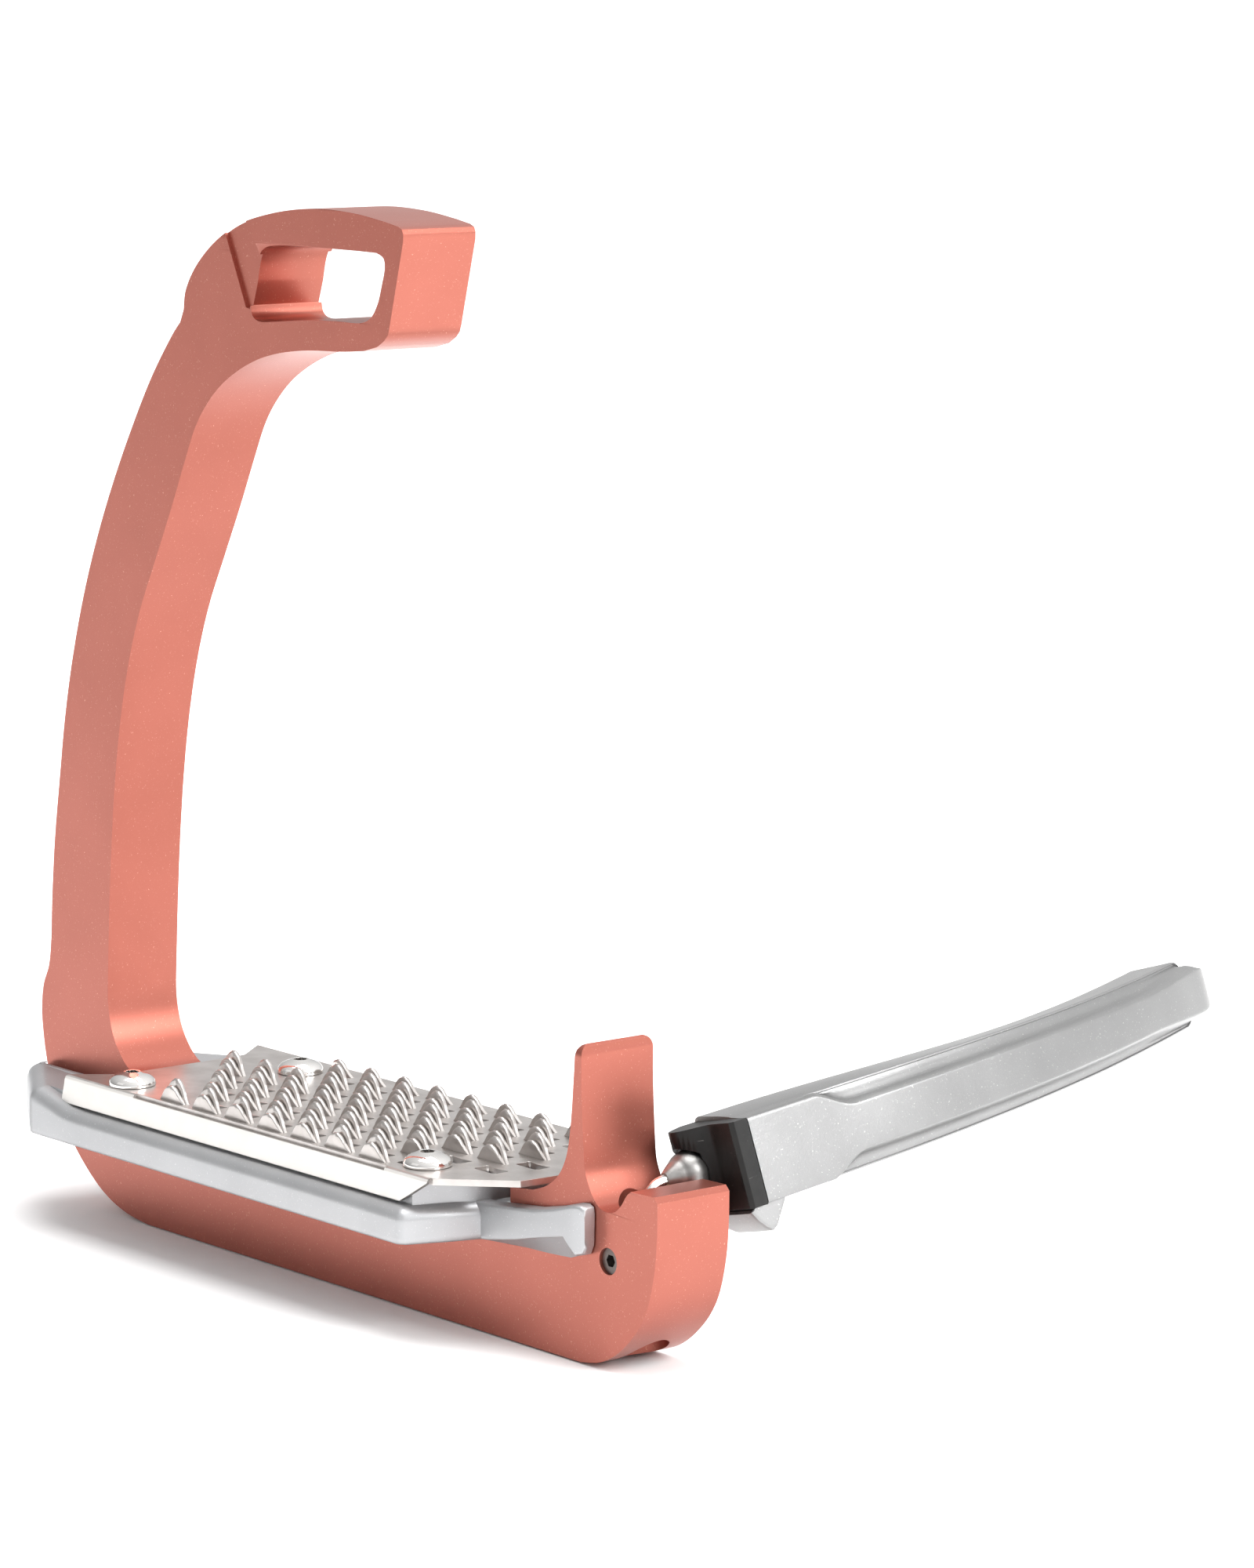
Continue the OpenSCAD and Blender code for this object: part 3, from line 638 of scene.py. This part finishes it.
N = 86
fr = [i / N for i in range(N + 1)]
fr = sorted(set(fr + [0.004, 0.09, 0.096, 0.102, 0.108, 0.114, 0.12, 0.126] + [0.925 + 0.0025 * i for i in range(30)] + [0.9992]))
OUT, INN = resample(curve(arm_out, 8), fr), resample(curve(arm_in, 8), fr)
rings = []
for f, o, q in zip(fr, OUT, INN):
    o, q = Vector(o), Vector(q)
    th = (q - o).length
    # half widths: outer land, wide part, inner face
    wb = lerp(6.55, 5.45, smooth(f, 0.0, 1.0))
    wi = lerp(7.2, 5.4, smooth(f, 0.05, 0.6))
    wl = lerp(6.5, lerp(3.45, 2.75, smooth(f, 0.2, 1.0)), smooth(f, 0.095, 0.165))
    g = smooth(f, 0.09, 0.135) * (1 - smooth(f, 0.94, 0.966))
    wl = lerp(wl, 3.5, smooth(f, 0.75, 0.93))
    sh = smooth(f, 0.925, 0.966)                      # shoulder before the end pad
    wb = lerp(wb, 4.0, sh)
    wi = lerp(wi, 3.9, sh)
    wl = min(wl, wb - 0.25)
    rnd = max(0.0, (f - 0.93) / 0.07)                 # end pad rounds off
    kk = max((1 - min(rnd, 1.0) ** 2.3) ** 0.5, 0.3)
    wb, wi, wl = wb * kk, wi * kk, wl * kk
    shrink = max(0.3, 0.45 + 0.55 * math.sqrt(max(0.0, 1 - rnd ** 2.4)))
    c = (o + q) / 2
    o, q = c + (o - c) * shrink, c + (q - c) * shrink
    r = 0.7 if f > 0.003 else 0.7

    def P(d, t):
        p = o + (q - o) * (t / th if th else 0)
        return (p.x, d, p.y)
    dep = 4.6 * g                                      # how far in the groove runs
    gi = 0.9 * g
    wl = max(wl, 1.2)
    half_sec = [(wl - 0.45, 0.0), (wl - 0.14, 0.05), (wl, 0.2),
                (lerp(wl + 0.02, wl + 0.25, g), lerp(0.5, 0.75, g)),
                (lerp(wb - 0.3, wl + 0.5, g), lerp(1.2, 1.6, g)),
                (lerp(wb - 0.16, wl + 0.8, g), lerp(1.9, 2.5, g)),
                (lerp(wb - 0.12, lerp(wl + 0.8, wb - 0.42, 0.35), g), lerp(2.4, 3.15, g)),
                (lerp(wb - 0.09, lerp(wl + 0.8, wb - 0.42, 0.72), g), lerp(2.9, 3.5, g)),
                (lerp(wb - 0.05, wb - 0.42, g), lerp(3.3, 3.55, g)),
                (lerp(wb - 0.03, wb - 0.28, g), lerp(3.6, 3.25, g)),
                (lerp(wb, wb - 0.06, g), lerp(3.9, 3.35, g)), (wb, lerp(4.4, 3.75, g)),
                (lerp(wb, wi, 0.3), lerp(5.4, 6.0, g)),
                (lerp(wb, wi, 0.65), min(th * 0.6, 8.5)), (wi, th - lerp(1.6, 3.6, smooth(f, 0.3, 0.75))),
                (wi - lerp(0.25, 0.5, f), th - lerp(0.7, 1.7, smooth(f, 0.3, 0.75))),
                (wi - lerp(0.9, 1.6, f), th - lerp(0.08, 0.5, smooth(f, 0.3, 0.75))),
                (wi * 0.5, th)]
    sec = [(-d, t) for d, t in half_sec] + [(d, t) for d, t in reversed(half_sec)]
    # ends of each half meet across the outer face and the inner face
    left = [P(-d, t) for d, t in half_sec]
    rite = [P(d, t) for d, t in half_sec]
    rings.append([P(0, 0)] + rite + [P(0, th)] + left[::-1])
arm = loft("arm", rings)
# ear that the finger pushes, beside the foot
ear_sec = [(5.6, 31.4), (6.75, 31.2), (6.8, 28.75), (7.2, 28.4), (8.7, 29.3), (10.0, 30.5), (10.55, 31.3), (10.6, 31.8), (10.2, 32.4), (8.9, 33.3),
           (6.9, 34.7), (5.6, 35.4)]
ear_rings = []
for x, k in ((66.0, 0.7), (66.2, 0.88), (66.9, 0.97), (68, 1.0), (74, 1.0), (77.3, 0.98), (77.8, 0.93), (77.95, 0.82)):
    ear_rings.append([(x, lerp(5.6, d, k), lerp(31.8, l, k)) for d, l in ear_sec])
ear = loft("ear", ear_rings)
cut(arm, prism("sock", [[(66.3, -3.6), (75.7, -3.6), (75.7, 3.6), (66.3, 3.6)]], lambda p, z: (p[0], p[1], z), 26, 41.4),
    bar_cutter("h", (60, 0, 38), (1, 0, 0), 2.8, 5.0), bar_cutter("h2", (60, 0, 38), (1, 0, 0), 1.6, 8))
arm = join("arm", [arm, ear])
tipped(arm)
finish_mesh(arm, 0, 0, 30, 26)
dress(arm, M_ARM, "arm", "silver_anodised", "release_arm")

# ---------------------------------------------------------------- cap
cap_pts = [(63.7, 31.1), (63.6, 28.6), (64.1, 27.7), (64.7, 26.9), (65.3, 26.0), (65.9, 25.3), (66.5, 24.75), (67.1, 24.45),
           (67.8, 24.25), (68.4, 24.2), (69.1, 24.3), (69.7, 24.55), (70.3, 25.05), (70.8, 25.6), (71.3, 26.3), (71.9, 27.1),
           (72.3, 27.7), (72.8, 28.0), (73.6, 28.2), (78.4, 28.2), (79, 28.8), (79, 31.1)]
cap = prism("cap", [cap_pts], xz, -6.45, 6.45)
finish_mesh(cap, 0.45, 3, 40, 34)
spig = prism("spigot", [[(66.5, -3.4), (75.5, -3.4), (75.5, 3.4), (66.5, 3.4)]], lambda p, z: (p[0], p[1], z), 31.15, 41.2)
a = [(3.65 * math.sin(math.radians(t)), -3.65 * math.cos(math.radians(t))) for t in range(0, 181, 10)]
cut(cap, lathe("seat_cut", [(max(r, 0), h) for r, h in a], tuple(BC), 48),
    bar_cutter("way", (BX, 0, 15), (0, 0, 1), 4.0, 11.5), bar_cutter("way2", (BX, 0, 24), (0, 0, 1), 1.8, 7.4))
cap = join("cap", [cap, spig])
tipped(cap)
finish_mesh(cap, 0, 0, 30, 34)
dress(cap, M_CAP, "arm", "black_plastic", "arm_cap")

# ---------------------------------------------------------------- ball and cable
prof = [(0, -4.75), (1.02, -4.75), (1.15, -4.6), (1.55, -4.0), (2.1, -3.2), (2.45, -2.6)]
prof += [(3.5 * math.cos(math.radians(t)), 3.5 * math.sin(math.radians(t))) for t in range(-44, 90, 6)] + [(0, 3.5)]
ball = lathe("ball", prof, tuple(BC), 64)
flat_dir = Vector((0, 0, 1))
flat_dir.rotate(Matrix.Rotation(math.radians(66), 4, "Y"))
flat_dir.rotate(Matrix.Rotation(math.radians(-70), 4, "Z"))
for v in ball.data.vertices:
    d = (v.co / MM - BC).dot(flat_dir)
    if d > 3.12:
        v.co -= flat_dir * (d - 3.12) * MM
ball = tipped(ball, M_TIPONLY)
finish_mesh(ball, 0, 0, 30, 26)
dress(ball, M_BALL, "tether", "worn_steel", "tether_ball")

route = [(BX, 0, 11.4), (BX, 0, 14), (BX, 0, 17), (BX, 0, 19.6), (BX, 0, 21.6), (BX, 0.2, 23.2), (BX, 0.8, 24.8),
         (BX, 1.9, 26), (BX, 3.3, 26.6), (BX, 5.4, 26.9), (BX, 8.0, 27.08)]
path = curve(route, 8)
rings = []
length = 0
for i, p in enumerate(path):
    p = Vector(p)
    a_, b_ = Vector(path[max(i - 1, 0)]), Vector(path[min(i + 1, len(path) - 1)])
    d = (b_ - a_).normalized()
    if i:
        length += (p - Vector(path[i - 1])).length
    u = Vector((1, 0, 0))
    v = d.cross(u)
    ring = []
    for k in range(36):
        t = 2 * math.pi * k / 36
        ph = t * 3 - length * 0.95
        r = 0.78 + 0.12 * abs(math.cos(ph))
        ring.append(tuple(p + u * (r * math.cos(t)) + v * (r * math.sin(t))))
    rings.append(ring)
cable = loft("cable", rings)
finish_mesh(cable, 0, 0, 30, 60)
cable.data.materials.append(M_WIRE)
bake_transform(cable)
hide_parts("tether_cable")

# ---------------------------------------------------------------- CAD pieces that stay
for n, mat in (("tread_screws", M_STEEL), ("cable_guide", M_BRASS), ("set_screw", M_DARK), ("return_spring", M_STEEL),
               ("spring_washer", M_STEEL), ("cable_stop", M_STEEL), ("cap_screw", M_STEEL), ("cable_anchor", M_STEEL)):
    ob = NODE[n]
    if not ob.material_slots:
        ob.data.materials.append(mat)
    for s in ob.material_slots:
        s.material = mat

# ---------------------------------------------------------------- studio
mat, nt, b = nodes_of("floor_pale")
nz = noise(nt, 6.0, 2.0)
nt.links.new(ramp(nt, nz.outputs["Fac"], [(0.3, (0.90, 0.90, 0.90)), (0.7, (0.93, 0.93, 0.93))]).outputs["Color"], b.inputs["Base Color"])
b.inputs["Roughness"].default_value = 0.9
# painted light: the floor glows by emission, from none on the camera's side up to 0.55 towards the far side, so the far
# floor stays white and the glow also lights the object
geo = nt.nodes.new("ShaderNodeTexCoord")
ln = nt.nodes.new("ShaderNodeVectorMath")
ln.operation = "DOT_PRODUCT"
ln.inputs[1].default_value = (-0.776, 0.631, 0)
far = nt.nodes.new("ShaderNodeMapRange")
far.interpolation_type = "SMOOTHERSTEP"
far.inputs["From Min"].default_value = 0.12
far.inputs["From Max"].default_value = 0.75
far.inputs["To Max"].default_value = 0.55
nt.links.new(geo.outputs["Object"], ln.inputs[0])
nt.links.new(ln.outputs["Value"], far.inputs["Value"])
b.inputs["Emission Color"].default_value = (1, 1, 1, 1)
nt.links.new(far.outputs["Result"], b.inputs["Emission Strength"])
me = bpy.data.meshes.new("floor")
me.from_pydata([(-95, -95, -0.0002), (95, -95, -0.0002), (95, 95, -0.0002), (-95, 95, -0.0002)], [], [(0, 1, 2, 3)])
floor = bpy.data.objects.new("floor", me)
bpy.context.scene.collection.objects.link(floor)
me.materials.append(mat)

world = bpy.data.worlds.new("studio")
bpy.context.scene.world = world
world.use_nodes = True
wt = world.node_tree
bg = wt.nodes["Background"]
bg.inputs["Color"].default_value = (1, 1, 1, 1)
tc = wt.nodes.new("ShaderNodeTexCoord")
dot = wt.nodes.new("ShaderNodeVectorMath")
dot.operation = "DOT_PRODUCT"
dot.inputs[1].default_value = (0.58, 0.32, 0.75)
mr = wt.nodes.new("ShaderNodeMapRange")
mr.inputs["From Min"].default_value = -0.9
mr.inputs["From Max"].default_value = 0.9
mr.inputs["To Min"].default_value = 0.22
mr.inputs["To Max"].default_value = 1.15
wt.links.new(tc.outputs["Generated"], dot.inputs[0])
wt.links.new(dot.outputs["Value"], mr.inputs["Value"])
wt.links.new(mr.outputs["Result"], bg.inputs["Strength"])


def softbox(name, at, aim, size, power):
    ld = bpy.data.lights.new(name, "AREA")
    ld.shape = "RECTANGLE"
    ld.size, ld.size_y = size
    ld.energy = power
    ob = bpy.data.objects.new(name, ld)
    ob.location = at
    ob.rotation_euler = (Vector(aim) - Vector(at)).to_track_quat("-Z", "Y").to_euler()
    bpy.context.scene.collection.objects.link(ob)


softbox("key", (1.1, 0.35, 0.8), (0, 0, 0.06), (0.7, 0.7), 20)
softbox("fill", (-0.3, -1.2, 0.7), (0, 0, 0.06), (0.9, 0.6), 0.5)
softbox("top", (0, 0.1, 1.4), (0, 0, 0.05), (1.0, 1.0), 18)
